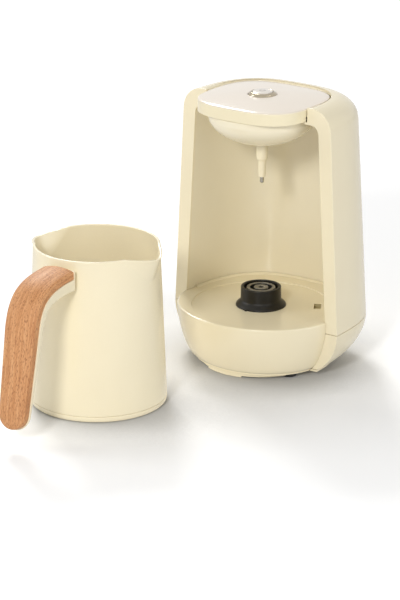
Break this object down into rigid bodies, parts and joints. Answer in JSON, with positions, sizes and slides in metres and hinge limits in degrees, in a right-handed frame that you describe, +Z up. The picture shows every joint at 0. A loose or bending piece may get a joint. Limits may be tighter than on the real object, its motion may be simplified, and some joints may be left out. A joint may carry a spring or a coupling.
{
  "type": "electric turkish coffee maker",
  "caption": "Countertop Turkish coffee maker: power base with an arched niche, control head with a push button and probe, and a cordless jug with a wooden grip.",
  "frame": {"origin": "on the vertical axis shared by the round connector, the probe and the button, at table level", "axes": "+Z up, -Y the front of the machine, +X to the right as seen from the front"},
  "size_m": [0.1943, 0.3647, 0.2342],
  "materials": {
    "cream_shell": "semi-gloss cream",
    "cream_jug": "semi-gloss cream",
    "lid": "gloss, slightly whiter cream",
    "button": "gloss off-white",
    "white_plastic": "natural",
    "black_plastic": "matt dark brown-black",
    "rubber": "matt",
    "silicone": "matt",
    "steel": "satin",
    "chrome": "mirror",
    "element": "dull",
    "board": "solder mask",
    "component": "moulded",
    "cable": "ribbon",
    "wood": "oiled beech"
  },
  "bodies": {
    "machine": {"outer_cover": "cream_shell", "front_frame": "cream_shell", "niche_liner": "cream_shell", "lower_housing": "cream_shell", "seat_bowl": "cream_shell", "base_plate": "cream_shell", "foot_front_right": "rubber", "foot_front_left": "rubber", "foot_rear_right": "rubber", "foot_rear_left": "rubber", "base_screws": "steel", "connector_boss": "black_plastic", "contact_ring": "steel", "contact_pin": "steel", "connector_base": "white_plastic", "power_board": "board", "relay": "component", "transformer": "component", "filter_capacitor": "component", "ribbon_cable": "cable", "cord_gland": "rubber", "head_pan": "cream_shell", "probe_sleeve": "cream_shell", "probe_tip": "steel", "control_board": "board", "switch_body": "component", "lid_panel": "lid", "button_collar": "chrome"},
    "button": {"switch_plunger": "white_plastic", "button_cap": "button"},
    "jug": {"jug_body": "cream_jug", "jug_base_cover": "cream_jug", "jug_socket": "black_plastic", "socket_prong": "steel", "socket_ring": "steel", "heating_plate": "steel", "plate_seal": "silicone", "heating_element": "element", "thermostat": "component", "handle_core": "cream_jug", "wood_grip": "wood", "grip_screws": "steel"}
  },
  "joints": [
    {"name": "button_press", "type": "slide", "parent": "machine", "child": "button", "axis": [0, 0, -1], "range_m": [0, 0.0012], "stiffness_N_per_m": 1500, "springref_m": -0.0006},
    {"name": "jug_lift", "type": "slide", "parent": "machine", "child": "jug", "axis": [0, 0, 1], "range_m": [0, 0.2]}
  ]
}
